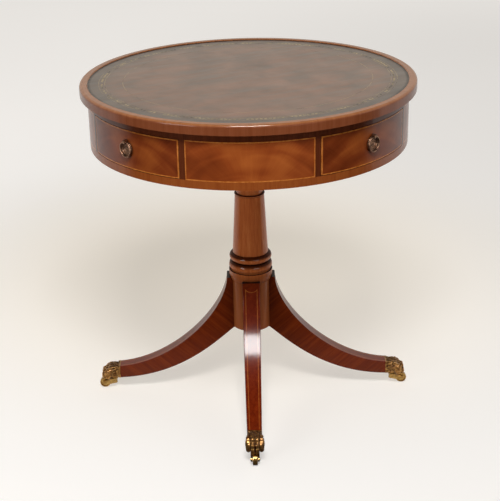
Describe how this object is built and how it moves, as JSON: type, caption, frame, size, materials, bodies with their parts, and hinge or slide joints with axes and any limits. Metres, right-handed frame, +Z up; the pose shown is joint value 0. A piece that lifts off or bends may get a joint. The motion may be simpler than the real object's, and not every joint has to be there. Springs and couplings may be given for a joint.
{
  "type": "drum table",
  "caption": "Round drum table: a revolving leather-topped drum with drawers and ring pulls on a turned column, with sabre legs on brass paw castors.",
  "frame": {"origin": "on the floor under the middle of the table", "axes": "+Z up; the front drawer faces -Y and the legs stand on the diagonals between X and Y"},
  "size_m": [0.6099, 0.61, 0.635],
  "materials": {
    "mahogany": "French polished",
    "flame_mahogany": "French polished veneer",
    "satinwood": "polished inlay",
    "pine": "planed, unfinished",
    "leather": "aniline, gold tooled",
    "cast_brass": "cast, worn lacquer",
    "bronzed_brass": "bronzed, dark",
    "iron": "oiled"
  },
  "bodies": {
    "base": {"column": "mahogany", "bearing_block": "mahogany", "pivot_spindle": "iron", "spindle_washer": "iron", "spindle_nut": "iron", "leg_front_right": "mahogany", "leg_back_right": "mahogany", "leg_back_left": "mahogany", "leg_front_left": "mahogany", "leg_stringing": "satinwood", "castor_cup_front_right": "cast_brass", "castor_cup_back_right": "cast_brass", "castor_cup_back_left": "cast_brass", "castor_cup_front_left": "cast_brass", "cup_screws": "cast_brass"},
    "drum": {"top_board": "pine", "top_rim": "mahogany", "leather_inset": "leather", "upper_rail": "mahogany", "lower_rail": "mahogany", "bottom_board": "pine", "frieze_stiles": "mahogany", "blank_panels": "flame_mahogany", "panel_stringing": "satinwood", "dividers_front_back": "pine", "dividers_left_right": "pine", "drawer_runners": "pine", "drawer_kickers": "pine", "drawer_stops": "pine", "hub_block": "pine"},
    "drawer_front": {"drawer_front_face": "flame_mahogany", "drawer_front_box": "pine", "drawer_front_stringing": "satinwood", "pull_plate_front": "bronzed_brass"},
    "drawer_right": {"drawer_right_face": "flame_mahogany", "drawer_right_box": "pine", "drawer_right_stringing": "satinwood", "pull_plate_right": "bronzed_brass"},
    "drawer_back": {"drawer_back_face": "flame_mahogany", "drawer_back_box": "pine", "drawer_back_stringing": "satinwood", "pull_plate_back": "bronzed_brass"},
    "drawer_left": {"drawer_left_face": "flame_mahogany", "drawer_left_box": "pine", "drawer_left_stringing": "satinwood", "pull_plate_left": "bronzed_brass"},
    "ring_front": {"pull_ring_front": "bronzed_brass"},
    "ring_right": {"pull_ring_right": "bronzed_brass"},
    "ring_back": {"pull_ring_back": "bronzed_brass"},
    "ring_left": {"pull_ring_left": "bronzed_brass"},
    "castor_front_right": {"castor_fork_front_right": "cast_brass"},
    "castor_back_right": {"castor_fork_back_right": "cast_brass"},
    "castor_back_left": {"castor_fork_back_left": "cast_brass"},
    "castor_front_left": {"castor_fork_front_left": "cast_brass"},
    "wheel_front_right": {"castor_wheel_front_right": "cast_brass"},
    "wheel_back_right": {"castor_wheel_back_right": "cast_brass"},
    "wheel_back_left": {"castor_wheel_back_left": "cast_brass"},
    "wheel_front_left": {"castor_wheel_front_left": "cast_brass"}
  },
  "joints": [
    {"name": "drum_turn", "type": "hinge", "parent": "base", "child": "drum", "pos_m": [0, 0, 0.522], "axis": [0, 0, 1], "continuous": true},
    {"name": "drawer_front_slide", "type": "slide", "parent": "drum", "child": "drawer_front", "axis": [0, -1, 0], "range_m": [0, 0.12]},
    {"name": "drawer_right_slide", "type": "slide", "parent": "drum", "child": "drawer_right", "axis": [1, 0, 0], "range_m": [0, 0.12]},
    {"name": "drawer_back_slide", "type": "slide", "parent": "drum", "child": "drawer_back", "axis": [0, 1, 0], "range_m": [0, 0.12]},
    {"name": "drawer_left_slide", "type": "slide", "parent": "drum", "child": "drawer_left", "axis": [-1, 0, 0], "range_m": [0, 0.12]},
    {"name": "ring_front_swing", "type": "hinge", "parent": "drawer_front", "child": "ring_front", "pos_m": [0, -0.2954, 0.58115], "axis": [-1, 0, 0], "range_deg": [0, 100]},
    {"name": "ring_right_swing", "type": "hinge", "parent": "drawer_right", "child": "ring_right", "pos_m": [0.2954, 0, 0.58115], "axis": [0, -1, 0], "range_deg": [0, 100]},
    {"name": "ring_back_swing", "type": "hinge", "parent": "drawer_back", "child": "ring_back", "pos_m": [0, 0.2954, 0.58115], "axis": [1, 0, 0], "range_deg": [0, 100]},
    {"name": "ring_left_swing", "type": "hinge", "parent": "drawer_left", "child": "ring_left", "pos_m": [-0.2954, 0, 0.58115], "axis": [0, 1, 0], "range_deg": [0, 100]},
    {"name": "castor_front_right_swivel", "type": "hinge", "parent": "base", "child": "castor_front_right", "pos_m": [0.19622, -0.19622, 0.0215], "axis": [0, 0, 1], "continuous": true},
    {"name": "castor_back_right_swivel", "type": "hinge", "parent": "base", "child": "castor_back_right", "pos_m": [0.19622, 0.19622, 0.0215], "axis": [0, 0, 1], "continuous": true},
    {"name": "castor_back_left_swivel", "type": "hinge", "parent": "base", "child": "castor_back_left", "pos_m": [-0.19622, 0.19622, 0.0215], "axis": [0, 0, 1], "continuous": true},
    {"name": "castor_front_left_swivel", "type": "hinge", "parent": "base", "child": "castor_front_left", "pos_m": [-0.19622, -0.19622, 0.0215], "axis": [0, 0, 1], "continuous": true},
    {"name": "wheel_front_right_spin", "type": "hinge", "parent": "castor_front_right", "child": "wheel_front_right", "pos_m": [0.21001, -0.21001, 0.01035], "axis": [0.7071, 0.7071, 0], "continuous": true},
    {"name": "wheel_back_right_spin", "type": "hinge", "parent": "castor_back_right", "child": "wheel_back_right", "pos_m": [0.21001, 0.21001, 0.01035], "axis": [-0.7071, 0.7071, 0], "continuous": true},
    {"name": "wheel_back_left_spin", "type": "hinge", "parent": "castor_back_left", "child": "wheel_back_left", "pos_m": [-0.21001, 0.21001, 0.01035], "axis": [-0.7071, -0.7071, 0], "continuous": true},
    {"name": "wheel_front_left_spin", "type": "hinge", "parent": "castor_front_left", "child": "wheel_front_left", "pos_m": [-0.21001, -0.21001, 0.01035], "axis": [0.7071, -0.7071, 0], "continuous": true}
  ]
}
